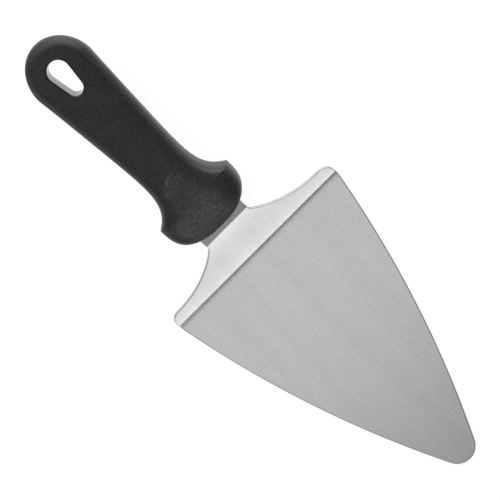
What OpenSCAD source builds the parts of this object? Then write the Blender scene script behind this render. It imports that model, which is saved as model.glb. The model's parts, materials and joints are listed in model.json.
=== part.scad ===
// Pizza server: one bent steel sheet, with a plastic handle moulded over its tang.
// x runs from the heel of the blade to its tip, y across it and z up from the table.
// The origin is on the underside, at the middle of the line where the flat blade ends.

/* [Blade] */
// Thickness of the steel sheet
sheet_t = 1.5; // [1:0.1:2.5]
// Length of the flat blade, from the heel bend to the tip
blade_len = 152; // [120:1:200]
// Width of the blade at the heel
blade_w = 113.5; // [95:0.5:150]
// Radius of the bowed sides of the blade
side_r = 560; // [400:10:1500]
// Radius of the tip
tip_r = 9.5; // [6:0.5:15]

/* [Web] */
// Slope of the web that lifts the handle clear of the table
web_slope = 38; // [28:1:50]
// Length of the web's flat, between its two bends
web_len = 23.8; // [20:0.1:30]
// Inside radius of the heel bend, between the blade and the web
heel_bend_r = 2.2; // [1:0.2:5]
// Inside radius of the neck bend, between the web and the neck
neck_bend_r = 2; // [1:0.2:4]
// Depth of the web at its outer corners
shoulder_depth = 7.2; // [6:0.1:10]
// Radius of the web's outer corners
shoulder_r = 6; // [2:0.5:6]
// Radius of the fillet where the web's hollow edge runs into the neck
neck_fillet_r = 3; // [1:0.5:6]
// Straight edge left between that fillet and the neck bend
neck_land = 0.4; // [0.2:0.1:3]

/* [Neck and tang] */
// Rise of the neck and the handle from the table
handle_tilt = 7.5; // [3:0.5:15]
// Width of the neck
neck_w = 29; // [22:0.5:32]
// Length of neck that shows in front of the handle
neck_len = 1.4; // [1:0.2:12]
// Depth of the full-width neck inside the handle
neck_depth = 9; // [5:0.5:12]
// Width of the tang
tang_w = 15; // [10:0.5:18]
// Radius of the tang's inner corners
tang_corner_r = 3; // [1:0.5:6]
// Plastic left between the end of the tang and the hanging hole
tang_gap = 10; // [4:0.5:30]
// Number of keying holes in the tang
key_count = 3; // [1:1:4]
// Radius of a keying hole
key_r = 3; // [1.5:0.25:4]

/* [Handle] */
// Length of the handle along its own axis
handle_len = 128.3; // [115:0.1:160]
// Width of the handle where the round butt begins
butt_w = 36.5; // [30:0.5:45]
// Length of the round butt
butt_len = 20.6; // [14:0.2:26]
// Width that the grip tapers down to at the guard, without the flare
grip_w = 22.8; // [20:0.2:30]
// Thickness of the handle where the round butt begins
butt_t = 15; // [12:0.5:20]
// Thickness that the grip swells to at the guard, without the flare
grip_t = 20.5; // [16:0.5:26]
// Squareness of the handle's section, where 2 is an ellipse
section_power = 2.8; // [2:0.1:4]

/* [Guard] */
// Width of the guard across its two points
guard_w = 47.6; // [40:0.2:60]
// Thickness of the guard
guard_t = 24; // [21:0.5:28]
// Length of the guard's dome, from its front to its points
guard_len = 20.3; // [15:0.1:26]
// Squareness of the dome, where 2 is an ellipse
dome_power = 2.8; // [2:0.1:4]
// Length over which the flare's width fades into the grip
flare_len = 7; // [4:0.5:12]
// Length over which the flare's thickness fades into the grip
swell_len = 20; // [10:1:30]

/* [Hanging hole] */
// Radius of the hole's large end, nearest the butt
hole_big_r = 5.8; // [4:0.1:8]
// Radius of the hole's small end
hole_small_r = 4.2; // [3:0.1:6]
// Distance between the centres of the two ends
hole_pitch = 11; // [6:0.5:20]
// Distance from the end of the butt to the centre of the large end
hole_inset = 17; // [14:0.5:24]

/* [Fit] */
// Gap left between the steel and the plastic moulded round it
mould_gap = 0.02; // [0.01:0.01:0.2]

/* [Hidden] */
steel = "silver";
plastic = [0.13, 0.13, 0.13];

// Steps along an arc, round the handle's section and along each stretch of the handle
arc_steps = 24;
section_steps = 48;
dome_steps = 12;
grip_steps = 26;
butt_steps = 12;
// Crowds the grip's sections towards the guard, where the flare is tight
grip_crowding = 1.8;
// Blunts the butt in the side view, where 1 is as round as the plan
butt_blunting = 0.4;
$fn = 96;

neck_bend = web_slope - handle_tilt;
tang_end = handle_len - hole_inset - hole_pitch - hole_small_r - tang_gap;
// Depth at which the neck's sloped shoulders have come down to the tang
tang_start = neck_depth + (neck_w - tang_w) / 2;
key_first = tang_start + key_r;
key_last = tang_end - tang_w / 2;
grip_end = handle_len - butt_len;
// How far cutting shapes run past what they cut
clear = 1;

function direction(p) = atan2(p[1], p[0]);
function signed_pow(x, e) = sign(x) * pow(abs(x), e);
function mix(a, b, t) = a + (b - a) * t;

// Points along an arc about a centre
function arc(centre, r, from, to) =
    [for (i = [0:arc_steps]) let (a = mix(from, to, i / arc_steps))
        centre + r * [cos(a), sin(a)]];

// One edge of an outline, followed by its mirror image across the x axis
function both_sides(edge) =
    concat(edge, [for (i = [len(edge) - 1:-1:0]) [edge[i][0], -edge[i][1]]]);

// Centre of the circle of radius r through p that a circle of radius small about q touches from inside
function bow_centre(p, q, r, small) =
    let (d = norm(q - p), along = (q - p) / d)
    let (a = (r * r - pow(r - small, 2) + d * d) / (2 * d))
    p + a * along + sqrt(r * r - a * a) * [along[1], -along[0]];

// The sheet's side view, in x and z: flat blade, heel bend, web, neck bend, neck and tang
function sheet_profile() =
    let (heel = [0, sheet_t + heel_bend_r])
    let (web_up = [sin(web_slope), cos(web_slope)], web_back = [-cos(web_slope), sin(web_slope)])
    let (neck_up = [sin(handle_tilt), cos(handle_tilt)], neck_back = [-cos(handle_tilt), sin(handle_tilt)])
    let (neck = heel - (heel_bend_r + sheet_t + neck_bend_r) * web_up + web_len * web_back)
    let (end = neck + neck_bend_r * neck_up + (neck_len + tang_end + clear) * neck_back)
    concat([[blade_len + clear, 0]],
        arc(heel, heel_bend_r + sheet_t, 270, 270 - web_slope),
        arc(neck, neck_bend_r, 90 - web_slope, 90 - handle_tilt),
        [end, end + sheet_t * neck_up],
        arc(neck, neck_bend_r + sheet_t, 90 - handle_tilt, 90 - web_slope),
        arc(heel, heel_bend_r, 270 - web_slope, 270),
        [[blade_len + clear, sheet_t]]);

// The blade's edge: a bowed side that runs in from past the heel, then half of the round tip
function blade_edge() =
    let (heel = [0, blade_w / 2], tip = [blade_len - tip_r, 0])
    let (bow = bow_centre(heel, tip, side_r, tip_r))
    let (run_in = 2 * clear / side_r * 180 / PI)
    concat(arc(bow, side_r, direction(heel - bow) + run_in, direction(tip - bow)),
        arc(tip, tip_r, direction(tip - bow), 0));

// The edge of the sheet's full width, the web's round shoulder, the hollow curve and the neck
function web_edge() =
    let (shoulder = [shoulder_r - shoulder_depth, blade_w / 2 - shoulder_r])
    let (fillet = [neck_land - web_len, neck_w / 2 + neck_fillet_r])
    let (across = shoulder[1] - fillet[1], along = web_len - neck_land - shoulder_depth)
    let (reach = pow(across, 2) + pow(along, 2) - pow(neck_fillet_r, 2))
    let (hollow_r = reach / (2 * (along - neck_fillet_r)))
    let (hollow = [-shoulder_depth - hollow_r, shoulder[1]], turn = direction(fillet - hollow))
    concat([[blade_len + 2 * clear, blade_w / 2]],
        arc(shoulder, shoulder_r, 90, 180),
        arc(hollow, hollow_r, 0, turn),
        arc(fillet, neck_fillet_r, turn, -90),
        [[-web_len - handle_len - clear, neck_w / 2]]);

// The edge of the neck, which widens by a step, and of the tang, which grows by a gap
function tang_edge(step, gap) =
    let (slope = -neck_len - neck_depth - gap * tan(22.5), r = tang_corner_r - gap)
    let (root = [-neck_len - tang_start - tang_corner_r * tan(22.5), tang_w / 2 + tang_corner_r])
    let (end = [-neck_len - tang_end + tang_w / 2, 0])
    concat([[clear, neck_w / 2 + step], [slope + step - gap, neck_w / 2 + step]],
        arc(root, r, -45, -90),
        arc(end, tang_w / 2 + gap, 90, 180));

// Places children, drawn flat behind the heel, on the slope of the web
module on_web() {
    translate([0, 0, sheet_t + heel_bend_r])
        rotate([0, web_slope, 0])
            translate([0, 0, -sheet_t - heel_bend_r])
                children();
}

// Places children, drawn flat behind the web's end, on the neck
module on_neck() {
    on_web()
        translate([-web_len, 0, -neck_bend_r])
            rotate([0, -neck_bend, 0])
                translate([0, 0, neck_bend_r])
                    children();
}

// Places children in the handle's frame: the front of the guard at 0, in the tang's middle plane
module on_handle() {
    on_neck()
        translate([-neck_len, 0, sheet_t / 2])
            children();
}

// What a press takes off outside an edge, over a span of x and a span of z
module offcut(edge, x_span, z_span) {
    translate([0, 0, z_span[0]])
        linear_extrude(z_span[1] - z_span[0])
            difference() {
                translate([x_span[0], -blade_w])
                    square([x_span[1] - x_span[0], 2 * blade_w]);
                polygon(both_sides(edge));
            }
}

// The keying holes, as rods that stand past both faces of the sheet
module key_rods(r) {
    for (i = [0:key_count - 1])
        translate([-neck_len - mix(key_first, key_last, i / max(1, key_count - 1)), 0, -clear])
            cylinder(r = r, h = sheet_t + 2 * clear);
}

module blade() {
    color(steel)
        difference() {
            rotate([90, 0, 0])
                linear_extrude(blade_w + 2 * clear, center = true)
                    polygon(sheet_profile());
            offcut(blade_edge(), [-clear, blade_len + 2 * clear], [-clear, sheet_t + clear]);
            on_web()
                offcut(web_edge(), [-web_len - handle_len, blade_len + clear], [-handle_len, blade_len]);
            on_neck()
                offcut(tang_edge(clear, 0), [-handle_len, 0], [-clear, sheet_t + clear]);
            on_neck() key_rods(key_r);
        }
}

// Half width and half thickness of the grip at a distance behind the front of the guard
function grip_half_w(h) =
    let (past = h - guard_len)
    mix(grip_w, butt_w, past / (grip_end - guard_len)) / 2
        + (guard_w - grip_w) / 2 * exp(-past / flare_len);
function grip_half_t(h) =
    let (past = h - guard_len)
    mix(grip_t, butt_t, past / (grip_end - guard_len)) / 2
        + (guard_t - grip_t) / 2 * exp(-pow(past / swell_len, 2));

// Sections of the handle as [distance behind the front, half width, half thickness]
dome_sections = [for (i = [1:dome_steps]) let (a = 90 * i / dome_steps, e = 2 / dome_power)
    [guard_len * (1 - pow(cos(a), e)), guard_w / 2 * pow(sin(a), e), guard_t / 2 * pow(sin(a), e)]];
grip_sections = [for (i = [1:grip_steps]) let (t = pow(i / grip_steps, grip_crowding))
    let (h = mix(guard_len, grip_end, t))
    [h, grip_half_w(h), grip_half_t(h)]];
butt_sections = [for (i = [1:butt_steps - 1]) let (a = 90 * i / butt_steps)
    [grip_end + butt_len * sin(a), butt_w / 2 * cos(a), butt_t / 2 * pow(cos(a), butt_blunting)]];

// A loft through flattened oval sections, closed by a point at each end
module grip_body() {
    sections = concat(dome_sections, grip_sections, butt_sections);
    n = section_steps;
    last = len(sections) - 1;
    front = (last + 1) * n;
    points = [for (s = sections) for (j = [0:n - 1]) let (a = 360 * j / n, e = 2 / section_power)
        [-s[0], s[1] * signed_pow(cos(a), e), s[2] * signed_pow(sin(a), e)]];
    walls = [for (i = [0:last - 1]) for (j = [0:n - 1]) let (k = (j + 1) % n)
        [[i * n + j, i * n + k, i * n + n + k], [i * n + j, i * n + n + k, i * n + n + j]]];
    ends = [for (j = [0:n - 1]) let (k = (j + 1) % n)
        [[front, k, j], [front + 1, last * n + j, last * n + k]]];
    polyhedron(concat(points, [[0, 0, 0], [-handle_len, 0, 0]]),
        [for (pair = concat(walls, ends)) for (face = pair) face]);
}

// The hanging hole: two round ends joined by their common tangents
module hanging_hole() {
    lean = acos((hole_big_r - hole_small_r) / hole_pitch);
    big = [hole_inset - handle_len, 0];
    translate([0, 0, -guard_t])
        linear_extrude(2 * guard_t)
            polygon(both_sides(concat(arc(big + [hole_pitch, 0], hole_small_r, 0, lean),
                arc(big, hole_big_r, lean, 180))));
}

// The room that the neck, the tang and the plastic through its holes leave in the handle
module tang_cavity() {
    difference() {
        translate([0, 0, -mould_gap])
            linear_extrude(sheet_t + 2 * mould_gap)
                polygon(both_sides(tang_edge(mould_gap, mould_gap)));
        key_rods(key_r - mould_gap);
    }
}

module handle() {
    color(plastic)
        difference() {
            on_handle() grip_body();
            on_handle() hanging_hole();
            on_neck() tang_cavity();
        }
}

blade();
handle();
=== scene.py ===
import json
import math

import bmesh
import bpy
import numpy as np
from mathutils import Matrix, Vector


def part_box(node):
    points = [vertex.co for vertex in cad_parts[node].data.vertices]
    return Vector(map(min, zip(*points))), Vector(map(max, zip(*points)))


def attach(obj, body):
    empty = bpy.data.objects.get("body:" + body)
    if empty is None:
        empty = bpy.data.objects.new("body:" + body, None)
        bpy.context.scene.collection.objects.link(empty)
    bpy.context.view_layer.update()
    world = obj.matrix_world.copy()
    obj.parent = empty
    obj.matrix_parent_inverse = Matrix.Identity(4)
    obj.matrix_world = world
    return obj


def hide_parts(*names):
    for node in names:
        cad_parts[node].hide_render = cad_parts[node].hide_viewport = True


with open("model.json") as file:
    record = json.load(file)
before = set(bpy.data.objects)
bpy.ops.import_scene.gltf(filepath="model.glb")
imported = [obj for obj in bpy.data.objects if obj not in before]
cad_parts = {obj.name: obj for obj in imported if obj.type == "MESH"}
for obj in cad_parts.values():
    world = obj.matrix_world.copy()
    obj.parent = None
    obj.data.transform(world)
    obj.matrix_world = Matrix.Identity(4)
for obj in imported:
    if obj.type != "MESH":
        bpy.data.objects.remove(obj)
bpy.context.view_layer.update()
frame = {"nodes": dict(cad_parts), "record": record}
scene = bpy.context.scene
mm = 0.001  # sizes in the dictionaries are millimetres, meshes are metres
sameSpot = 1e-4  # millimetres within which two points count as one
sharpAngle = 35  # degrees between faces past which the shading shows an edge
mounts = {mount["name"]: mount for mount in frame["record"]["mounts"]}
print("frame loaded:", ", ".join(sorted(frame["nodes"])))


# small helpers for node trees

def feed(tree, socket, value):
    if isinstance(value, bpy.types.NodeSocket):
        tree.links.new(value, socket)
    elif value is not None:
        socket.default_value = value


def addNode(tree, kind, inputs=None, **settings):
    node = tree.nodes.new(kind)
    for name, value in settings.items():
        setattr(node, name, value)
    for key, value in (inputs or {}).items():
        feed(tree, node.inputs[key], value)
    return node


def calc(tree, operation, a, b=None, c=None, clamp=False):
    node = addNode(tree, "ShaderNodeMath", {0: a, 1: b, 2: c}, operation=operation, use_clamp=clamp)
    return node.outputs[0]


def newTree(name, inputs):
    tree = bpy.data.node_groups.new(name, "GeometryNodeTree")
    for label, kind in inputs.items():
        tree.interface.new_socket(label, in_out="INPUT", socket_type="NodeSocket" + kind)
    tree.interface.new_socket("Geometry", in_out="OUTPUT", socket_type="NodeSocketGeometry")
    return tree, tree.nodes.new("NodeGroupInput").outputs, tree.nodes.new("NodeGroupOutput").inputs[0]


def setInputs(modifier, values):
    for item in modifier.node_group.interface.items_tree:
        if item.in_out == "INPUT" and item.name in values:
            modifier[item.identifier] = values[item.name]


def plainMesh(obj, name):
    # bakes the modifiers into a plain mesh and drops them
    bpy.context.view_layer.update()
    evaluated = obj.evaluated_get(bpy.context.evaluated_depsgraph_get())
    mesh = bpy.data.meshes.new_from_object(evaluated)
    mesh.name = name
    obj.modifiers.clear()
    obj.data = mesh
    return mesh


def linkObject(name, mesh):
    obj = bpy.data.objects.new(name, mesh)
    scene.collection.objects.link(obj)
    return obj


def smoothShade(mesh):
    mesh.shade_smooth()
    mesh.set_sharp_from_angle(angle=math.radians(sharpAngle))


# outlines in the plane, as lists of (x, y)

def arc(centre, radius, start, stop, steps):
    angles = [math.radians(start + (stop - start) * i / steps) for i in range(steps + 1)]
    return [(centre[0] + radius * math.cos(a), centre[1] + radius * math.sin(a)) for a in angles]


def heading(fromPoint, toPoint):
    return math.degrees(math.atan2(toPoint[1] - fromPoint[1], toPoint[0] - fromPoint[0]))


def bothSides(edge):
    # one edge from the +x end to the -x end, then its mirror image back, with no double points
    loop = edge + [(x, -y) for x, y in reversed(edge)]
    return [p for i, p in enumerate(loop) if math.dist(p, loop[i - 1]) > sameSpot]


def insetLoop(loop, distance):
    # moves a counter-clockwise loop inwards by mitred normals
    points = np.array(loop)
    along = np.roll(points, -1, 0) - points
    along /= np.linalg.norm(along, axis=1)[:, None]
    left = np.stack([-along[:, 1], along[:, 0]], 1)
    before = np.roll(left, 1, 0)
    mitre = (left + before) / (1 + (left * before).sum(1))[:, None]
    return points + mitre * distance


# The blade: one steel sheet, cut flat, pierced, then bent twice

sheet = {
    "thick": mounts["serving_face"]["pos_m"][2] / mm,
    "bladeLen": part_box("blade")[1].x / mm,
    "bladeWidth": 2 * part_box("blade")[1].y / mm,
    "sideRadius": 560,
    "tipRadius": 9.5,
    "webLen": 23.8,
    "heelRadius": 2.2,
    "neckRadius": 2,
    "heelBends": ((5.8, 28), (30.7, 2.2), (1.5, 110)),  # degrees and inside radius, from the blade back
    "neckBends": ((1.5, 110), (29, 1.3)),
    "shoulderDepth": 7.2,
    "shoulderRadius": 6,
    "neckFillet": 3,
    "neckLand": 0.4,
    "neckWidth": 29,
    "neckLen": 1.4,
    "neckDepth": 9,
    "tangWidth": 15,
    "tangCorner": 3,
    "tangEnd": 86.1,
    "keyCount": 3,
    "keyRadius": 3,
    "punchSides": 40,
    "punchReach": 3.0,  # depth of the punch, in thicknesses of the sheet
    "edgeRadius": 0.22,
    "edgeSteps": 3,
    "edgeFacing": 0.99,  # faces of the blank that look up or down less than this are cut edges
    "arcSteps": {"tip": 24, "side": 36, "shoulder": 20, "hollow": 28, "fillet": 16, "root": 8, "end": 16},
    "bendStep": 2.4,  # degrees between the lines that a bend is scored along
    "leastScores": 3,
    "support": 0.4,  # flat margin that keeps the shading of the flats clean
    "tilt": math.degrees(math.asin(mounts["hanging_hole"]["axis"][0])),
}


def bendSpans(bends, thick):
    # the flat length of a chain of bends, and how far its two ends lie from the corner they replace
    x = z = turned = length = 0
    for angle, radius in bends:
        turn, neutral = math.radians(angle), radius + thick / 2
        x -= neutral * (math.sin(turned + turn) - math.sin(turned))
        z += neutral * (math.cos(turned) - math.cos(turned + turn))
        turned += turn
        length += turn * neutral
    after = z / math.sin(turned)
    return length, -x - after * math.cos(turned), after


def layOut(s):
    # flat places of both chains of bends, so that the web and the neck lie where the frame has them
    heelLen, heelBefore, heelAfter = bendSpans(s["heelBends"], s["thick"])
    neckLen, neckBefore, neckAfter = bendSpans(s["neckBends"], s["thick"])
    heelCorner = bendSpans(((sum(a for a, _ in s["heelBends"]), s["heelRadius"]),), s["thick"])[1]
    neckCorner = bendSpans(((sum(a for a, _ in s["neckBends"]), s["neckRadius"]),), s["thick"])[1]
    s["heelLine"] = heelBefore - heelCorner
    s["webStart"] = s["heelLine"] - heelLen + heelAfter - heelCorner
    s["webEnd"] = s["webStart"] - s["webLen"]
    s["neckLine"] = s["webEnd"] - neckCorner + neckBefore
    s["neckStart"] = s["neckLine"] - neckLen + neckAfter - neckCorner


layOut(sheet)
sheet["tangStart"] = sheet["neckDepth"] + (sheet["neckWidth"] - sheet["tangWidth"]) / 2
sheet["keyFirst"] = sheet["tangStart"] + sheet["keyRadius"]
sheet["keyLast"] = sheet["tangEnd"] - sheet["tangWidth"] / 2


def bladeEdge(s):
    # round tip, then the bowed side that touches it from outside and ends at the heel
    tip = (s["bladeLen"] - s["tipRadius"], 0)
    heel = (0, s["bladeWidth"] / 2)
    span = math.dist(tip, heel)
    away = (s["sideRadius"] ** 2 - (s["sideRadius"] - s["tipRadius"]) ** 2 + span ** 2) / (2 * span)
    ux, uy = (tip[0] - heel[0]) / span, (tip[1] - heel[1]) / span
    drop = math.sqrt(s["sideRadius"] ** 2 - away ** 2)
    bow = (heel[0] + away * ux + drop * uy, heel[1] + away * uy - drop * ux)
    turn = heading(bow, tip)
    steps = s["arcSteps"]
    return (arc(tip, s["tipRadius"], 0, turn, steps["tip"])
            + arc(bow, s["sideRadius"], turn, heading(bow, heel), steps["side"]))


def webEdge(s):
    # round shoulder, hollow curve and the fillet that runs into the neck
    shoulder = (s["webStart"] + s["shoulderRadius"] - s["shoulderDepth"],
                s["bladeWidth"] / 2 - s["shoulderRadius"])
    fillet = (s["webEnd"] + s["neckLand"], s["neckWidth"] / 2 + s["neckFillet"])
    across = shoulder[1] - fillet[1]
    along = s["webLen"] - s["neckLand"] - s["shoulderDepth"]
    hollowR = (across ** 2 + along ** 2 - s["neckFillet"] ** 2) / (2 * (along - s["neckFillet"]))
    hollow = (s["webStart"] - s["shoulderDepth"] - hollowR, shoulder[1])
    turn = heading(hollow, fillet)
    steps = s["arcSteps"]
    return (arc(shoulder, s["shoulderRadius"], 90, 180, steps["shoulder"])
            + arc(hollow, hollowR, 0, turn, steps["hollow"])
            + arc(fillet, s["neckFillet"], turn, -90, steps["fillet"]))


def tangEdge(s, start, gap):
    # sloped shoulders and a long round-ended tang, behind the line where the neck begins
    corner = s["tangCorner"] - gap
    lean = math.tan(math.pi / 8)  # the shoulders slope by 45 degrees, and this is for half of that
    front = start - s["neckLen"]
    slope = (front - s["neckDepth"] - gap * lean, s["neckWidth"] / 2 + gap)
    root = (front - s["tangStart"] - s["tangCorner"] * lean, s["tangWidth"] / 2 + s["tangCorner"])
    end = (front - s["tangEnd"] + s["tangWidth"] / 2, 0)
    steps = s["arcSteps"]
    return ([slope] + arc(root, corner, -45, -90, steps["root"])
            + arc(end, s["tangWidth"] / 2 + gap, 90, 180, steps["end"]))


def plateMesh(name, loop, low, high, edgeRadius, edgeSteps, support, cuts=()):
    # a flat plate with rounded edges, scored along straight lines across it
    turns = [math.pi / 2 * i / edgeSteps for i in range(edgeSteps + 1)] if edgeRadius else [0]
    rim = [(edgeRadius * (1 - math.sin(a)), edgeRadius * (1 - math.cos(a))) for a in turns]
    if support:
        rim = [(edgeRadius + support, 0)] + rim
    rings = [(inset, low + rise) for inset, rise in rim]
    rings += [(inset, high - rise) for inset, rise in reversed(rim)]
    bm = bmesh.new()
    rows = []
    for inset, z in rings:
        rows.append([bm.verts.new((x * mm, y * mm, z * mm)) for x, y in insetLoop(loop, inset)])
    count = len(loop)
    for under, over in zip(rows, rows[1:]):
        for i in range(count):
            j = (i + 1) % count
            bm.faces.new((under[i], under[j], over[j], over[i]))
    bm.faces.new(rows[0][::-1])
    bm.faces.new(rows[-1])
    for x in cuts:
        bmesh.ops.bisect_plane(bm, geom=bm.verts[:] + bm.edges[:] + bm.faces[:], dist=sameSpot * mm,
                               plane_co=(x * mm, 0, 0), plane_no=(1, 0, 0))
    mesh = bpy.data.meshes.new(name)
    bm.to_mesh(mesh)
    bm.free()
    return mesh


def bendStages(s):
    # every bend as (line, degrees, inside radius, way), the one nearest the tang first
    stages = []
    for line, bends, way in ((s["heelLine"], s["heelBends"], 1.0), (s["neckLine"], s["neckBends"], -1.0)):
        for angle, radius in bends:
            stages.insert(0, (line, angle, radius, way))
            line -= math.radians(angle) * (radius + s["thick"] / 2)
    return stages


def bendLines(s):
    # where the blank is scored so that each bend comes out round
    lines = []
    for line, angle, radius, _ in bendStages(s):
        length = math.radians(angle) * (radius + s["thick"] / 2)
        steps = max(s["leastScores"], math.ceil(angle / s["bendStep"]))
        lines += [line - length * i / steps for i in range(steps + 1)]
    for line, bends in ((s["heelLine"], s["heelBends"]), (s["neckLine"], s["neckBends"])):
        lines += [line + s["support"], line - bendSpans(bends, s["thick"])[0] - s["support"]]
    return sorted(set(round(x, 6) for x in lines))


def pressBendGroup():
    # everything behind a line across the sheet is rolled round a bend, up (1) or down (-1)
    tree, given, out = newTree("pressBend", {
        "Geometry": "Geometry", "Line": "Float", "Angle": "Float",
        "Radius": "Float", "Thickness": "Float", "Way": "Float"})
    place = addNode(tree, "GeometryNodeInputPosition").outputs[0]
    x, y, z = addNode(tree, "ShaderNodeSeparateXYZ", {0: place}).outputs
    way = given["Way"]
    half = calc(tree, "MULTIPLY", given["Thickness"], 0.5)
    neutral = calc(tree, "ADD", given["Radius"], half)
    centre = calc(tree, "MULTIPLY_ADD", way, neutral, half)
    length = calc(tree, "MULTIPLY", given["Angle"], neutral)
    behind = calc(tree, "SUBTRACT", given["Line"], x)
    turn = calc(tree, "MULTIPLY", calc(tree, "DIVIDE", behind, length, clamp=True), given["Angle"])
    beyond = calc(tree, "MAXIMUM", calc(tree, "SUBTRACT", behind, length), 0.0)
    ahead = calc(tree, "MAXIMUM", calc(tree, "MULTIPLY", behind, -1.0), 0.0)
    reach = calc(tree, "MULTIPLY", way, calc(tree, "SUBTRACT", centre, z))
    sine, cosine = calc(tree, "SINE", turn), calc(tree, "COSINE", turn)
    back = calc(tree, "ADD", calc(tree, "MULTIPLY", reach, sine),
                calc(tree, "MULTIPLY", beyond, cosine))
    lift = calc(tree, "SUBTRACT", calc(tree, "MULTIPLY", beyond, sine),
                calc(tree, "MULTIPLY", reach, cosine))
    newX = calc(tree, "SUBTRACT", calc(tree, "ADD", given["Line"], ahead), back)
    newZ = calc(tree, "MULTIPLY_ADD", way, lift, centre)
    moved = addNode(tree, "ShaderNodeCombineXYZ", {"X": newX, "Y": y, "Z": newZ}).outputs[0]
    bent = addNode(tree, "GeometryNodeSetPosition", {"Geometry": given["Geometry"], "Position": moved})
    tree.links.new(bent.outputs[0], out)
    return tree


def punchRowGroup(sides):
    # a row of round holes along x, pierced straight through
    tree, given, out = newTree("punchRow", {
        "Geometry": "Geometry", "First": "Vector", "Step": "Vector",
        "Count": "Int", "Radius": "Float", "Depth": "Float"})
    row = addNode(tree, "GeometryNodeMeshLine",
                  {"Count": given["Count"], "Start Location": given["First"], "Offset": given["Step"]})
    punch = addNode(tree, "GeometryNodeMeshCylinder",
                    {"Vertices": sides, "Radius": given["Radius"], "Depth": given["Depth"]})
    punches = addNode(tree, "GeometryNodeInstanceOnPoints",
                      {"Points": row.outputs[0], "Instance": punch.outputs[0]})
    solid = addNode(tree, "GeometryNodeRealizeInstances", {0: punches.outputs[0]})
    pierced = addNode(tree, "GeometryNodeMeshBoolean",
                      {"Mesh 1": given["Geometry"], "Mesh 2": solid.outputs[0]},
                      operation="DIFFERENCE", solver="EXACT")
    tree.links.new(pierced.outputs[0], out)
    return tree


def addGroup(tree, group, inputs):
    node = tree.nodes.new("GeometryNodeGroup")
    node.node_tree = group
    for key, value in inputs.items():
        feed(tree, node.inputs[key], value)
    return node.outputs[0]


def pressedSheetTree(s, punchRow, pressBend, stageCount):
    # pierce the blank, keep its flat places as a UV map, mark its cut edges, then bend it stage by stage
    sockets = {"Geometry": "Geometry", "Thickness": "Float", "First Hole": "Vector", "Hole Step": "Vector",
               "Hole Count": "Int", "Hole Radius": "Float", "Steel": "Material"}
    for i in range(stageCount):
        sockets.update({f"{size} {i}": "Float" for size in ("Line", "Angle", "Radius", "Way")})
    tree, given, out = newTree("pressedSheet", sockets)
    flat = addGroup(tree, punchRow, {
        "Geometry": given["Geometry"], "First": given["First Hole"], "Step": given["Hole Step"],
        "Count": given["Hole Count"], "Radius": given["Hole Radius"],
        "Depth": calc(tree, "MULTIPLY", given["Thickness"], s["punchReach"])})
    place = addNode(tree, "GeometryNodeInputPosition").outputs[0]
    mapped = addNode(tree, "GeometryNodeStoreNamedAttribute",
                     {"Geometry": flat, "Name": "sheetUV", "Value": place},
                     data_type="FLOAT2", domain="CORNER")
    normal = addNode(tree, "GeometryNodeInputNormal").outputs[0]
    facing = addNode(tree, "ShaderNodeSeparateXYZ", {0: normal}).outputs[2]
    isEdge = calc(tree, "LESS_THAN", calc(tree, "ABSOLUTE", facing), s["edgeFacing"])
    marked = addNode(tree, "GeometryNodeStoreNamedAttribute",
                     {"Geometry": mapped.outputs[0], "Name": "cutEdge", "Value": isEdge},
                     data_type="FLOAT", domain="FACE")
    bent = marked.outputs[0]
    for i in range(stageCount):
        sizes = {size: given[f"{size} {i}"] for size in ("Line", "Angle", "Radius", "Way")}
        bent = addGroup(tree, pressBend, {"Geometry": bent, "Thickness": given["Thickness"], **sizes})
    solid = addNode(tree, "GeometryNodeRealizeInstances", {0: bent})
    finished = addNode(tree, "GeometryNodeSetMaterial",
                       {"Geometry": solid.outputs[0], "Material": given["Steel"]})
    tree.links.new(finished.outputs[0], out)
    return tree


def keyHoleInputs(s, start, middle):
    # first hole and step of the row of keying holes in the tang
    step = (s["keyLast"] - s["keyFirst"]) / (s["keyCount"] - 1)
    first = (start - s["neckLen"] - s["keyFirst"]) * mm
    return (first, 0, middle * mm), (-step * mm, 0, 0)


def makeBlade(s, steel, punchRow):
    loop = bothSides(bladeEdge(s) + webEdge(s) + tangEdge(s, s["neckStart"], 0))
    blank = plateMesh("sheetBlank", loop, 0, s["thick"], s["edgeRadius"], s["edgeSteps"],
                      s["support"], bendLines(s))
    blade = linkObject("pressed_blade", blank)
    press = blade.modifiers.new("press", "NODES")
    stages = bendStages(s)
    press.node_group = pressedSheetTree(s, punchRow, pressBendGroup(), len(stages))
    firstHole, holeStep = keyHoleInputs(s, s["neckStart"], s["thick"] / 2)
    values = {"Thickness": s["thick"] * mm, "First Hole": firstHole, "Hole Step": holeStep,
              "Hole Count": s["keyCount"], "Hole Radius": s["keyRadius"] * mm, "Steel": steel}
    for i, (line, angle, radius, way) in enumerate(stages):
        values.update({f"Line {i}": line * mm, f"Angle {i}": math.radians(angle),
                       f"Radius {i}": radius * mm, f"Way {i}": way})
    setInputs(press, values)
    mesh = plainMesh(blade, "pressedBlade")
    smoothShade(mesh)
    print("blade:", len(mesh.polygons), "faces")
    return blade


# The handle: a moulding round the tang, lofted through flattened ovals

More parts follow.
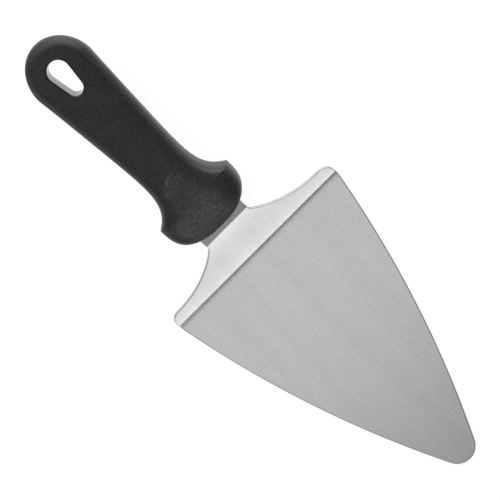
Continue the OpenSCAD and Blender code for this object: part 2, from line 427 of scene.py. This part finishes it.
grip = {
    "length": 128.3,
    "buttWidth": 36.5,
    "buttLen": 20.6,
    "buttThick": 15,
    "buttBlend": (90, 112),  # where the section turns into the butt's flat top with its sloped edge
    "slopeWidth": 3.95,
    "slopeRise": 0.62,
    "slopePower": 1.25,
    "slopeSoftness": 0.45,
    "buttEdge": 0.8,
    "waistWidth": 22.8,
    "waistThick": 20.5,
    "squareness": (4.4, 2.6),  # of the section, from the guard to the butt
    "guardWidth": 47.6,
    "guardThick": 24,
    "guardLen": 20.3,
    "domeAcross": 2.1,  # powers of the dome's outline
    "domeAlong": 3.25,
    "crownSquareness": 2.8,
    "flareLen": 7,
    "swellLen": 20,
    "creaseSoftness": 0.22,
    "holeBig": 5.8,
    "holeSmall": 4.2,
    "holePitch": 11,
    "holeInset": 17,
    "rimRadius": 0.9,
    "wallDraft": 0.08,
    "mouldGap": 0.02,
    "roomAhead": 1,  # how far the room for the neck is cut past the front
    "polishAndShadeFade": 3,  # how steeply the polish of the hole's wall, and the painted shade on its wall and rim, fades over the rim
    "plainFront": 1 / 3,  # share of the guard, from its front, that the crease stays out of
    "leastWidth": 1e-6,
    "columns": 72,
    "sectionSamples": 1441,
    "rings": 32,
    "ringCrowding": 2.4,  # towards the outline
    "rimSteps": 5,
    "wallShares": (0.25, 0.5, 0.75, 0.93, 0.98, 1.0),  # rings down the hole's wall, as far as the seam
    "rayReach": 40.0,
    "rayHalvings": 50,
    "patchAhead": 7,  # how far in front of the hole its patch of mesh begins
    "stations": {  # how many sections the loft has, and where they crowd about the crease
        "dome": 40,
        "domeGap": 0.2,
        "runIn": 9,
        "runInFrom": -2.6,
        "creaseFrom": -0.6,
        "creaseTo": 1.5,
        "creaseStep": 0.12,
        "waist": 44,
        "waistLen": 24,
        "waistCrowding": 1.3,
        "rest": 26,
        "side": 13,
        "end": 29,
    },
}
grip["buttStart"] = grip["length"] - grip["buttLen"]
grip["bigCentre"] = grip["length"] - grip["holeInset"]
grip["smallCentre"] = grip["bigCentre"] - grip["holePitch"]
grip["holeMiddle"] = (grip["bigCentre"] + grip["smallCentre"]) / 2
grip["patchStart"] = grip["smallCentre"] - grip["holeSmall"] - grip["patchAhead"]


# painted highlight where a soft box's reflection falls on the top: on the dome, and along the crown as far
# as a round end; with fine rub marks on an arc, which are real scuffs
sheenAndRubArea = {
    "start": 5,  # behind the front of the guard
    "startFade": 1,
    "domeReach": 7,
    "domeFade": 11,
    "domeShare": 0.66,
    "crownShare": 0.34,
    # points of its two edges: behind the front, off the middle
    "leftEdge": ((0, 13), (8, 15), (15, 18.5), (17.5, 18), (19.5, 12), (26, 8.5)),
    "rightEdge": ((0, 10.5), (16, 10.5), (22, 6.5), (30, 4.8)),
    "sideFade": 1.3,
    "endCentre": 26,
    "endRadius": 10.2,
    "endFade": 0.7,
    "wellInside": 9,  # stands for the distance from the round end, in front of its centre
    "rubCentre": (26.9, 2.3),  # of the arc that the fine rub marks lie on
    "rubRadius": 10.3,
    "rubHalfWidth": 0.75,
    "rubMarks": ((-30, 9, 1.9), (-63, 6, 1.3), (-12, 17, 0.6)),  # degrees off the middle, spread, share
}


def fadeIn(distance, fade):
    return 1 / (1 + np.exp(-distance / fade))


def paintedSheenAndRubs(t, h, y):
    # share of painted highlight from 0 to 1 at places behind the front and across, plus the rub marks
    dome = t["domeShare"] * np.exp(-(np.clip(h - t["domeReach"], 0, None) / t["domeFade"]) ** 2)
    past = np.hypot(np.clip(h - t["endCentre"], 0, None), y) - t["endRadius"]
    crown = t["crownShare"] * fadeIn(np.where(h > t["endCentre"], -past, t["wellInside"]), t["endFade"])
    left = fadeIn(y + np.interp(h, *zip(*t["leftEdge"])), t["sideFade"])
    right = fadeIn(np.interp(h, *zip(*t["rightEdge"])) - y, t["sideFade"])
    # painted highlight on the dome and the crown, between its two edges
    sheenLift = fadeIn(h - t["start"], t["startFade"]) * (dome + crown) * left * right
    # the rub marks: real scuffs along an arc
    away, beside = h - t["rubCentre"][0], y - t["rubCentre"][1]
    off = np.abs(np.hypot(away, beside) - t["rubRadius"])
    angle = np.degrees(np.arctan2(beside, away))
    marks = sum(share * np.exp(-((angle - middle) / spread) ** 2)
                for middle, spread, share in t["rubMarks"])
    return sheenLift + marks * np.clip(1 - off / t["rubHalfWidth"], 0, 1)


def halfWidth(g, h):
    # half width at a distance behind the front of the guard
    past = h - g["guardLen"]
    taper = g["waistWidth"] + (g["buttWidth"] - g["waistWidth"]) * past / (g["buttStart"] - g["guardLen"])
    flare = taper / 2 + (g["guardWidth"] - g["waistWidth"]) / 2 * np.exp(-past / g["flareLen"])
    rise = np.clip(-past / g["guardLen"], 0, 1)
    dome = g["guardWidth"] / 2 * (1 - rise ** g["domeAlong"]) ** (1 / g["domeAcross"])
    soft = g["creaseSoftness"]
    body = np.minimum(flare, dome) - soft * np.log1p(np.exp(-np.abs(flare - dome) / soft))
    body = np.where(h < g["guardLen"] * g["plainFront"], dome, body)
    bulge = np.clip((h - g["buttStart"]) / g["buttLen"], 0, 1)
    return np.where(h > g["buttStart"], g["buttWidth"] / 2 * np.sqrt(1 - bulge ** 2), body)


def halfThick(g, h):
    past = h - g["guardLen"]
    taper = g["waistThick"] + (g["buttThick"] - g["waistThick"]) * past / (g["buttStart"] - g["guardLen"])
    swell = taper / 2 + (g["guardThick"] - g["waistThick"]) / 2 * np.exp(-(past / g["swellLen"]) ** 2)
    rise = np.clip(-past / g["guardLen"], 0, 1)
    dome = g["guardThick"] / 2 * (1 - rise ** g["crownSquareness"]) ** (1 / g["crownSquareness"])
    return np.where(past < 0, dome, swell)


def squareness(g, h):
    return np.interp(h, (g["guardLen"], g["buttStart"]), g["squareness"])


def sectionSteps(g):
    # from one side of the flattened oval to the other, in even steps along its length
    power = sum(g["squareness"]) / 2
    angles = np.linspace(0, math.pi, g["sectionSamples"])
    across = np.sign(np.cos(angles)) * np.abs(np.cos(angles)) ** (2 / power)
    over = np.sin(angles).clip(0) ** (2 / power)
    steps = np.hypot(np.diff(across) * g["waistWidth"], np.diff(over) * g["waistThick"])
    length = np.concatenate([[0], np.cumsum(steps)])
    across = np.interp(np.linspace(0, length[-1], g["columns"] + 1), length, across)
    across[0], across[-1] = 1, -1
    return across


def buttHeight(g, h, y):
    # flat on top, then a slope all round that ends in a small round edge at the outline
    bulge = np.clip((h - g["buttStart"]) / g["buttLen"], 0, 1)
    wide = np.where(bulge > 0, g["buttWidth"] / 2, halfWidth(g, h))
    inside = (1 - np.clip(np.hypot(y / wide, bulge), 0, 1)) * wide
    past = g["slopeSoftness"] * np.log1p(np.exp((g["slopeWidth"] - inside) / g["slopeSoftness"]))
    drop = g["slopeRise"] * past ** g["slopePower"]
    edge = np.clip(1 - inside / g["buttEdge"], 0, 1)
    return (halfThick(g, h) - drop) * np.sqrt(1 - edge ** 2)


def topHeight(g, h, y):
    share = np.clip(np.abs(y) / np.maximum(halfWidth(g, h), g["leastWidth"]), 0, 1)
    power = squareness(g, h)
    oval = halfThick(g, h) * (1 - share ** power) ** (1 / power)
    blend = np.clip((h - g["buttBlend"][0]) / (g["buttBlend"][1] - g["buttBlend"][0]), 0, 1)
    blend = blend ** 2 * (3 - 2 * blend)
    return oval + (np.where(blend > 0, buttHeight(g, h, y), oval) - oval) * blend


def holeDistance(g, h, y):
    # distance outside the teardrop hole, negative inside it
    along, across = g["bigCentre"] - h, np.abs(y)
    lean = (g["holeBig"] - g["holeSmall"]) / g["holePitch"]
    flat = math.sqrt(1 - lean ** 2)
    side = -lean * across + flat * along
    bigEnd = np.hypot(across, along) - g["holeBig"]
    smallEnd = np.hypot(across, along - g["holePitch"]) - g["holeSmall"]
    straight = flat * across + lean * along - g["holeBig"]
    return np.where(side < 0, bigEnd, np.where(side > flat * g["holePitch"], smallEnd, straight))


def holeRim(g, rays, offset):
    # points where rays from the middle of the hole cross its outline, grown by an offset
    low, high = np.zeros(len(rays)), np.full(len(rays), g["rayReach"])
    for _ in range(g["rayHalvings"]):
        middle = (low + high) / 2
        inside = holeDistance(g, g["holeMiddle"] + rays[:, 0] * middle, rays[:, 1] * middle) < offset
        low, high = np.where(inside, middle, low), np.where(inside, high, middle)
    return np.stack([g["holeMiddle"] + rays[:, 0] * low, rays[:, 1] * low], 1)


def gripStations(g):
    # distances behind the front at which the loft has a section, crowded at the crease
    k = g["stations"]
    power = 2 / g["crownSquareness"]
    dome = g["guardLen"] * (1 - np.cos(np.linspace(0, math.pi / 2, k["dome"])[1:-1]) ** power)
    crease = g["guardLen"] + np.arange(k["creaseFrom"], k["creaseTo"], k["creaseStep"])
    before = np.linspace(g["guardLen"] + k["runInFrom"], crease[0], k["runIn"])[:-1]
    shares = np.linspace(0, 1, k["waist"]) ** k["waistCrowding"]
    waist = g["guardLen"] + k["creaseTo"] + k["waistLen"] * shares
    rest = np.linspace(waist[-1], g["patchStart"], k["rest"])[1:]
    return np.concatenate([dome[dome < before[0] - k["domeGap"]], before, crease, waist, rest])


def buttRays(g):
    # the outer boundary of the patch round the hole: the last section, then the butt's silhouette
    section = halfWidth(g, g["patchStart"]) * sectionSteps(g)
    last = np.stack([np.full(len(section), g["patchStart"]), section], 1)
    straight = np.linspace(g["patchStart"], g["buttStart"], g["stations"]["side"])[1:]
    turns = np.linspace(0, math.pi / 2, g["stations"]["end"])[1:]
    h = np.concatenate([straight, g["buttStart"] + g["buttLen"] * np.sin(turns)])
    side = np.concatenate([halfWidth(g, straight), g["buttWidth"] / 2 * np.cos(turns)])
    lower = np.stack([h, -side], 1)
    upper = np.stack([h, side], 1)[-2::-1]
    return np.concatenate([last, lower, upper])


def handleTopMesh(g):
    # the upper half of the moulding: dome, grip, butt with its hole, and the hole's wall down to the seam
    across = sectionSteps(g)
    points, faces = [(0.0, 0.0, 0.0)], []
    width = g["columns"] + 1
    stations = gripStations(g)
    for h in stations:
        y = halfWidth(g, h) * across
        points += [(-h, *place) for place in zip(y.tolist(), topHeight(g, h, y).tolist())]
    faces += [(0, 1 + j, 2 + j) for j in range(g["columns"])]
    for i in range(len(stations) - 1):
        a, b = 1 + i * width, 1 + (i + 1) * width
        faces += [(a + j, b + j, b + j + 1, a + j + 1) for j in range(g["columns"])]

    border = buttRays(g)
    rays = border - np.array([g["holeMiddle"], 0])
    rays /= np.linalg.norm(rays, axis=1)[:, None]
    rim = holeRim(g, rays, g["rimRadius"])
    rimHeight = topHeight(g, rim[:, 0], rim[:, 1])
    loops = []
    for share in 1 - (1 - np.linspace(0, 1, g["rings"] + 1)) ** g["ringCrowding"]:
        plan = rim + (border - rim) * share
        height = topHeight(g, plan[:, 0], plan[:, 1])
        if share == 1:
            height[width - 1:] = 0
            height[0] = 0
        loops.append((plan, height))
    inner = []
    for turn in np.linspace(0, math.pi / 2, g["rimSteps"] + 1)[1:]:
        plan = holeRim(g, rays, g["rimRadius"] * (1 - math.sin(turn)))
        inner.append((plan, rimHeight - g["rimRadius"] * (1 - math.cos(turn))))
    wallTop = inner[-1][1]
    for share in g["wallShares"]:
        inner.append((holeRim(g, rays, -g["wallDraft"] * share), wallTop * (1 - share)))
    first = len(points)
    count = len(border)
    for plan, height in inner[::-1] + loops:
        points += [(-h, y, z) for (h, y), z in zip(plan.tolist(), height.tolist())]
    for i in range(len(inner) + len(loops) - 1):
        a, b = first + i * count, first + (i + 1) * count
        faces += [(a + j, a + (j + 1) % count, b + (j + 1) % count, b + j) for j in range(count)]
    return np.array(points), faces


def makeHandle(g, s, plastic, punchRow):
    points, faces = handleTopMesh(g)
    half = np.concatenate([points, points * (1, 1, -1)])
    bm = bmesh.new()
    verts = [bm.verts.new(p * mm) for p in half]
    for face in faces:
        for shift in (0, len(points)):
            bm.faces.new([verts[i + shift] for i in face])
    bmesh.ops.remove_doubles(bm, verts=bm.verts[:], dist=sameSpot * mm)
    bmesh.ops.dissolve_degenerate(bm, edges=bm.edges[:], dist=sameSpot * mm)
    bmesh.ops.recalc_face_normals(bm, faces=bm.faces[:])
    body = bpy.data.meshes.new("handleBody")
    bm.to_mesh(body)
    bm.free()
    handle = linkObject("moulded_handle", body)

    # the room that the neck and the pierced tang take up in the plastic
    gap = g["mouldGap"]
    room = bothSides([(g["roomAhead"], s["neckWidth"] / 2 + gap)] + tangEdge(s, s["neckLen"], gap))
    plate = plateMesh("tangRoom", room, -s["thick"] / 2 - gap, s["thick"] / 2 + gap, 0, 0, 0)
    cutter = linkObject("tangRoom", plate)
    punched = cutter.modifiers.new("punch", "NODES")
    punched.node_group = punchRow
    firstHole, holeStep = keyHoleInputs(s, s["neckLen"], 0)
    setInputs(punched, {"First": firstHole, "Step": holeStep, "Count": s["keyCount"],
                        "Radius": (s["keyRadius"] - gap) * mm, "Depth": s["punchReach"] * s["thick"] * mm})
    plainMesh(cutter, "tangRoomPunched")
    slot = handle.modifiers.new("slot", "BOOLEAN")
    slot.operation = "DIFFERENCE"
    slot.solver = "EXACT"
    slot.object = cutter
    mesh = plainMesh(handle, "mouldedHandle")
    bpy.data.objects.remove(cutter)

    where = np.empty(len(mesh.vertices) * 3)
    mesh.vertices.foreach_get("co", where)
    where = where.reshape(-1, 3) / mm
    # the hole's wall and rim: smoother as polished, and darkened by painted shade
    outside = holeDistance(g, -where[:, 0], where[:, 1]) / g["rimRadius"]
    wall = np.clip(g["polishAndShadeFade"] - g["polishAndShadeFade"] * outside, 0, 1)
    mesh.attributes.new("holeWall", "FLOAT", "POINT").data.foreach_set("value", wall.astype(np.float32))
    # painted highlight on the top, with the rub marks, kept as a point attribute
    topSheenAndRubs = np.where(where[:, 2] > 0, paintedSheenAndRubs(sheenAndRubArea, -where[:, 0], where[:, 1]), 0)
    mesh.attributes.new("paintedSheenAndRubs", "FLOAT", "POINT").data.foreach_set("value", topSheenAndRubs.astype(np.float32))

    # from the handle's own frame to its place behind the neck
    hang = Vector(mounts["hanging_hole"]["pos_m"])
    turn = Matrix.Rotation(math.radians(s["tilt"]), 4, "Y")
    front = hang - turn @ Vector((-g["holeMiddle"] * mm, 0, 0))
    mesh.transform(Matrix.Translation(front) @ turn)
    mesh.materials.clear()
    mesh.materials.append(plastic)
    smoothShade(mesh)
    print("handle:", len(mesh.polygons), "faces")
    return handle


# Materials

def newMaterial(name):
    material = bpy.data.materials.new(name)
    material.use_nodes = True
    tree = material.node_tree
    tree.nodes.clear()
    shader = tree.nodes.new("ShaderNodeBsdfPrincipled")
    output = tree.nodes.new("ShaderNodeOutputMaterial")
    tree.links.new(shader.outputs[0], output.inputs["Surface"])
    return material, tree, shader


def noiseAt(tree, place, scale, detail, roughness=0.5):
    mapped = addNode(tree, "ShaderNodeMapping", {"Vector": place, "Scale": scale})
    noise = addNode(tree, "ShaderNodeTexNoise",
                    {"Vector": mapped.outputs[0], "Scale": 1.0, "Detail": detail, "Roughness": roughness})
    return noise.outputs["Fac"]


def around(tree, value, middle, swing):
    # a noise value, which lies about a half, turned into a swing about a middle value
    return calc(tree, "MULTIPLY_ADD", value, 2 * swing, middle - swing)


def mixed(tree, share, first, second):
    node = addNode(tree, "ShaderNodeMix", {"Factor": share, "A": first, "B": second}, data_type="FLOAT")
    return node.outputs[0]


def feedGrey(tree, socket, tone):
    feed(tree, socket, addNode(tree, "ShaderNodeCombineColor", {0: tone, 1: tone, 2: tone}).outputs[0])


steelFinish = {
    "tone": 0.6,
    "toneSwing": 0.1,
    "grainSwing": 0.06,
    "markDepth": 0.07,  # how much darker the deeper brush marks are
    "markRange": (0.6, 0.75),  # where on its noise such a mark begins and is full
    "roughness": 0.25,
    "roughnessSwing": 0.03,
    "edgeRoughness": 0.5,
    "edgeBlend": 2,  # how far in front of the heel the web's edge turns into the blade's
    "edgeToneAndShade": (0.48, 0.12),  # of the cut edges, on the web and on the blade; darker as sheared steel is, and darkened further by painted shade that stands for dark reflections, most on the blade
    "fine": {"scale": (30, 4200, 1), "detail": 3},  # along the blade and across it
    "marks": {"scale": (130, 1900, 1), "detail": 2},
    "band": {"scale": (110, 1200, 1), "detail": 3},
    "grain": {"scale": (1200, 1500, 1), "detail": 2},
    "broad": {"scale": (7, 75, 1), "detail": 2},
    "brushDepth": 0.0025,
    "anisotropy": 0.35,
    "glossTurn": 0.25,  # the gloss spreads across the brush lines
    "webMiddle": (sheet["webStart"] + sheet["webEnd"]) / 2,
    "webHalf": sheet["webLen"] / 2,
    "webShadeDepth": 0.1,  # how much lighter the web is painted beside its bends than in its middle: painted highlight and shade
    "webShadeMean": 0.46,
    "webShadeFade": 1,
}


def paintedWebShading(tree, along, f):
    # painted shading: change of tone across the web, darker in its middle than beside the two bends
    off = calc(tree, "ABSOLUTE", calc(tree, "SUBTRACT", along, f["webMiddle"] * mm))
    share = calc(tree, "DIVIDE", off, f["webHalf"] * mm)
    change = calc(tree, "MULTIPLY_ADD", calc(tree, "MULTIPLY", share, share), f["webShadeDepth"],
                  -f["webShadeDepth"] * f["webShadeMean"])
    within = addNode(tree, "ShaderNodeMapRange", {
        "Value": off, "From Min": f["webHalf"] * mm, "From Max": (f["webHalf"] + f["webShadeFade"]) * mm,
        "To Min": 1.0, "To Max": 0.0}).outputs[0]
    return calc(tree, "MULTIPLY", change, within)


def brushedSteel(f):
    material, tree, shader = newMaterial("brushedSteel")
    place = addNode(tree, "ShaderNodeUVMap", uv_map="sheetUV").outputs[0]
    along = addNode(tree, "ShaderNodeSeparateXYZ", {0: place}).outputs[0]
    edge = addNode(tree, "ShaderNodeAttribute", attribute_name="cutEdge").outputs["Fac"]
    fine = noiseAt(tree, place, **f["fine"])
    band = noiseAt(tree, place, **f["band"])
    broad = noiseAt(tree, place, **f["broad"])
    grain = noiseAt(tree, place, **f["grain"])
    markStart, markFull = f["markRange"]
    marks = addNode(tree, "ShaderNodeMapRange", {
        "Value": noiseAt(tree, place, **f["marks"]), "From Min": markStart, "From Max": markFull,
        "To Max": f["markDepth"]}).outputs[0]

    streak = calc(tree, "MULTIPLY", calc(tree, "ADD", band, broad), 0.5)
    tone = calc(tree, "SUBTRACT", around(tree, streak, f["tone"], f["toneSwing"]), marks)
    tone = calc(tree, "ADD", tone, around(tree, grain, 0, f["grainSwing"]))
    # painted shading across the web
    tone = calc(tree, "ADD", tone, paintedWebShading(tree, along, f))
    # tone of the cut edges: sheared steel plus painted shade for dark reflections, deepest on the blade
    webTone, bladeTone = f["edgeToneAndShade"]
    edgeToneAndShade = addNode(tree, "ShaderNodeMapRange", {
        "Value": along, "From Max": f["edgeBlend"] * mm, "To Min": webTone, "To Max": bladeTone}).outputs[0]
    feedGrey(tree, shader.inputs["Base Color"], mixed(tree, edge, tone, edgeToneAndShade))

    brushed = around(tree, fine, f["roughness"], f["roughnessSwing"])
    feed(tree, shader.inputs["Roughness"], mixed(tree, edge, brushed, f["edgeRoughness"]))
    feed(tree, shader.inputs["Metallic"], 1.0)
    feed(tree, shader.inputs["Anisotropic"], f["anisotropy"])
    feed(tree, shader.inputs["Anisotropic Rotation"], f["glossTurn"])
    tangent = addNode(tree, "ShaderNodeTangent", direction_type="UV_MAP", uv_map="sheetUV")
    feed(tree, shader.inputs["Tangent"], tangent.outputs[0])
    bump = addNode(tree, "ShaderNodeBump", {
        "Strength": calc(tree, "SUBTRACT", 1.0, edge), "Distance": f["brushDepth"] * mm, "Height": fine})
    feed(tree, shader.inputs["Normal"], bump.outputs[0])
    return material


plasticFinish = {
    "tone": 0.013,
    "toneSwing": 0.05,
    "leastTone": 0.002,
    "sheenAndRubTone": 0.056,  # what the painted highlight on the top and the rub marks add
    "sheenAndRubSwing": 2.2,  # how unevenly it does so
    "wallShadeTone": 0.15,  # share of the tone that the hole's wall and rim keep: painted shade
    "roughness": 0.46,
    "roughnessSwing": 0.08,
    "wallRoughness": 0.16,
    "grain": {"scale": (1900, 1900, 1900), "detail": 2},
    "mottle": {"scale": (1100, 1100, 1100), "detail": 3, "roughness": 0.6},
    "cloud": {"scale": (90, 90, 90), "detail": 2},
    "mottleShare": 0.8,  # the rest of the unevenness is cloud
    "grainDepth": 0.03,
}


def mouldedPlastic(f):
    material, tree, shader = newMaterial("mouldedPlastic")
    place = addNode(tree, "ShaderNodeTexCoord").outputs["Object"]
    grain = noiseAt(tree, place, **f["grain"])
    mottle = noiseAt(tree, place, **f["mottle"])
    cloud = noiseAt(tree, place, **f["cloud"])
    uneven = calc(tree, "ADD", calc(tree, "MULTIPLY", mottle, f["mottleShare"]),
                  calc(tree, "MULTIPLY", cloud, 1 - f["mottleShare"]))
    wall = addNode(tree, "ShaderNodeAttribute", attribute_name="holeWall").outputs["Fac"]
    topSheenAndRubs = addNode(tree, "ShaderNodeAttribute", attribute_name="paintedSheenAndRubs").outputs["Fac"]
    unwalled = calc(tree, "SUBTRACT", 1.0, wall)

    # painted highlight on the dome and crown, and the rub marks, lift the tone of the black
    sheenLift = calc(tree, "MULTIPLY", topSheenAndRubs, around(tree, uneven, f["sheenAndRubTone"], f["sheenAndRubTone"] * f["sheenAndRubSwing"]))
    tone = calc(tree, "ADD", sheenLift, around(tree, uneven, f["tone"], f["toneSwing"]))
    tone = calc(tree, "MAXIMUM", tone, f["leastTone"])
    # painted shade darkens the hole's wall and rim
    tone = calc(tree, "MULTIPLY", tone, calc(tree, "MULTIPLY_ADD", wall, f["wallShadeTone"] - 1, 1.0))
    feedGrey(tree, shader.inputs["Base Color"], tone)

    matte = around(tree, mottle, f["roughness"], f["roughnessSwing"])
    feed(tree, shader.inputs["Roughness"], mixed(tree, wall, matte, f["wallRoughness"]))
    bump = addNode(tree, "ShaderNodeBump", {
        "Strength": unwalled, "Distance": f["grainDepth"] * mm, "Height": grain})
    feed(tree, shader.inputs["Normal"], bump.outputs[0])
    return material


# Pieces

steel = brushedSteel(steelFinish)
plastic = mouldedPlastic(plasticFinish)
print("materials:", steel.name, plastic.name)
punchRow = punchRowGroup(sheet["punchSides"])
blade = makeBlade(sheet, steel, punchRow)
handle = makeHandle(grip, sheet, plastic, punchRow)
for piece, node, slotName in ((blade, "blade", "blade_steel"), (handle, "handle", "handle_plastic")):
    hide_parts(node)
    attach(piece, "root")


# Studio: pale floor, soft lamps, camera

def aimed(at, aim, up):
    # the place and turn of something that looks from one point to another
    back = (Vector(at) - Vector(aim)).normalized()
    right = Vector(up).cross(back).normalized()
    return Matrix.Translation(at) @ Matrix((right, back.cross(right), back)).transposed().to_4x4()


studio = {
    "floorSize": 6.0,
    "floorDrop": 0.0002,
    "floorTone": 0.8,
    "floorRoughness": 0.9,
    "seenTone": 0.3,
    "floorGlow": 0.86,  # brings the floor to white where the camera, metal or gloss sees it
    "worldTone": 0.26,
    "lamps": {  # soft boxes round and over the part, all aimed at its heel
        "overhead": {"at": (0.26, -0.67, 3.94), "size": (1.16, 1.8), "watts": 5.1, "up": (0, 1, 0)},
        "webCard": {"at": (1.91, -0.34, 0.48), "size": (1.1, 0.7), "watts": 2.8},
        "guardSoft": {"at": (1.05, -1.05, 1.34), "size": (0.8, 0.7), "watts": 4.2},
        "buttLow": {"at": (-1.96, 0, 0.42), "size": (1.6, 0.7), "watts": 8},
        "buttHigh": {"at": (-1.23, 0, 1.58), "size": (1.2, 0.7), "watts": 6},
        "cornerLow": {"at": (-1.4, 1.4, 0.27), "size": (1.8, 0.5), "watts": 20},
        "cornerHigh": {"at": (-1.2, 1.2, 1.06), "size": (1.8, 0.7), "watts": 4},
        "rightLow": {"at": (0, 1.96, 0.42), "size": (1.8, 0.7), "watts": 2.4},
        "leftLow": {"at": (0, -1.96, 0.42), "size": (1.4, 0.6), "watts": 3.8},
    },
}


def makeStudio(st):
    size = st["floorSize"] / 2
    mesh = bpy.data.meshes.new("floor")
    corners = [(x * size, y * size, -st["floorDrop"]) for x, y in ((-1, -1), (1, -1), (1, 1), (-1, 1))]
    mesh.from_pydata(corners, [], [(0, 1, 2, 3)])
    floor = linkObject("studioFloor", mesh)
    material, tree, shader = newMaterial("floorPaper")
    feed(tree, shader.inputs["Roughness"], st["floorRoughness"])
    feed(tree, shader.inputs["Specular IOR Level"], 0.0)
    feed(tree, shader.inputs["Emission Color"], (1, 1, 1, 1))
    path = addNode(tree, "ShaderNodeLightPath").outputs
    seen = calc(tree, "MAXIMUM", path["Is Camera Ray"],
                calc(tree, "MAXIMUM", path["Is Glossy Ray"], path["Is Transmission Ray"]))
    feed(tree, shader.inputs["Emission Strength"], calc(tree, "MULTIPLY", seen, st["floorGlow"]))
    tone = calc(tree, "MULTIPLY_ADD", seen, st["seenTone"] - st["floorTone"], st["floorTone"])
    feedGrey(tree, shader.inputs["Base Color"], tone)
    mesh.materials.append(material)

    world = bpy.data.worlds.new("studioAir")
    scene.world = world
    world.use_nodes = True
    tree = world.node_tree
    tree.nodes.clear()
    air = addNode(tree, "ShaderNodeBackground", {"Color": (1, 1, 1, 1), "Strength": st["worldTone"]})
    output = tree.nodes.new("ShaderNodeOutputWorld")
    tree.links.new(air.outputs[0], output.inputs["Surface"])

    for name, lamp in st["lamps"].items():
        light = bpy.data.lights.new(name, "AREA")
        light.shape = "RECTANGLE"
        light.size, light.size_y = lamp["size"]
        light.energy = lamp["watts"]
        obj = bpy.data.objects.new(name, light)
        scene.collection.objects.link(obj)
        obj.matrix_world = aimed(lamp["at"], (0, 0, 0), lamp.get("up", (0, 0, 1)))


photoView = {
    "at": (-0.060443, 0.174164, 1.025034),
    "aim": (-0.003312, -0.002978, -0.00004),
    "up": (-0.69988, 0.69626, -0.15933),
    "lens": 147.56,
    "sensor": 36,
}


def makeCamera(v):
    camera = bpy.data.cameras.new("photoView")
    camera.lens = v["lens"]
    camera.sensor_width = v["sensor"]
    obj = bpy.data.objects.new("photoView", camera)
    scene.collection.objects.link(obj)
    obj.matrix_world = aimed(v["at"], v["aim"], v["up"])
    scene.camera = obj


makeStudio(studio)
makeCamera(photoView)
scene.view_settings.view_transform = "Standard"
print("studio and camera set")
